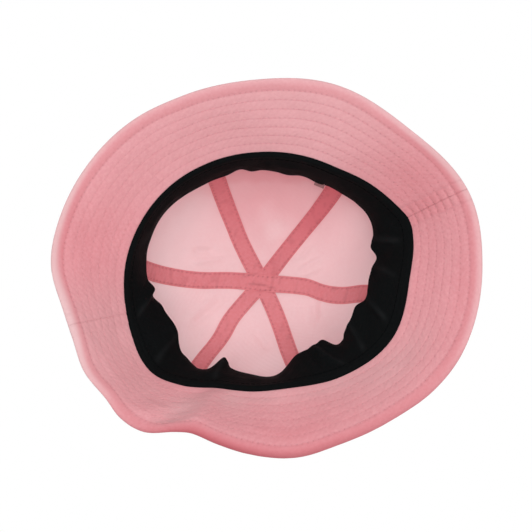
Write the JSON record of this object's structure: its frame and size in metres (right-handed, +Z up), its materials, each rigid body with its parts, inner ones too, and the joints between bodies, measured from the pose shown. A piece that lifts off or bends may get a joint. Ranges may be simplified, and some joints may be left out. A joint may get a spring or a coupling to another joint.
{
  "type": "bucket hat",
  "caption": "Soft six-panel cotton bucket hat with a stitched sloping brim, taped crown seams, a folded sweatband inside and a small care label.",
  "frame": {"origin": "middle of the brim's outline, at the height of the lowest point of its rim", "axes": "+Z up through the crown, -Y to the wearer's front, +X to the wearer's left"},
  "size_m": [0.2772, 0.2501, 0.1303],
  "materials": {
    "crown_twill": "brushed cotton twill, darker on the face side than on the back",
    "brim_twill": "brushed cotton twill with concentric topstitching",
    "seam_tape": "cotton twill tape",
    "interlining": "stiff woven canvas",
    "sweatband_cotton": "folded black cotton",
    "label_tape": "woven satin label, plain",
    "pink_thread": "twisted sewing thread",
    "black_thread": "twisted sewing thread"
  },
  "bodies": {
    "hat": {"crown_panel_left": "crown_twill", "crown_panel_back_left": "crown_twill", "crown_panel_back_right": "crown_twill", "crown_panel_right": "crown_twill", "crown_panel_front_right": "crown_twill", "crown_panel_front_left": "crown_twill", "seam_tape_long": "seam_tape", "seam_tape_back": "seam_tape", "seam_tape_back_right": "seam_tape", "seam_tape_front": "seam_tape", "seam_tape_front_left": "seam_tape", "brim_top_front": "brim_twill", "brim_top_back": "brim_twill", "brim_interlining_front": "interlining", "brim_interlining_back": "interlining", "brim_under_front": "brim_twill", "brim_under_back": "brim_twill", "sweatband": "sweatband_cotton", "brim_needle_thread": "pink_thread", "brim_bobbin_thread": "pink_thread", "crown_topstitch_thread": "pink_thread", "tape_stitch_thread": "pink_thread", "sweatband_stitch_thread": "black_thread"},
    "label": {"care_label": "label_tape"}
  },
  "joints": [
    {"name": "label_hinge", "type": "hinge", "parent": "hat", "child": "label", "pos_m": [0.05958, -0.05365, 0.03989], "axis": [0.755, 0.6557, 0], "range_deg": [0, 8]}
  ]
}
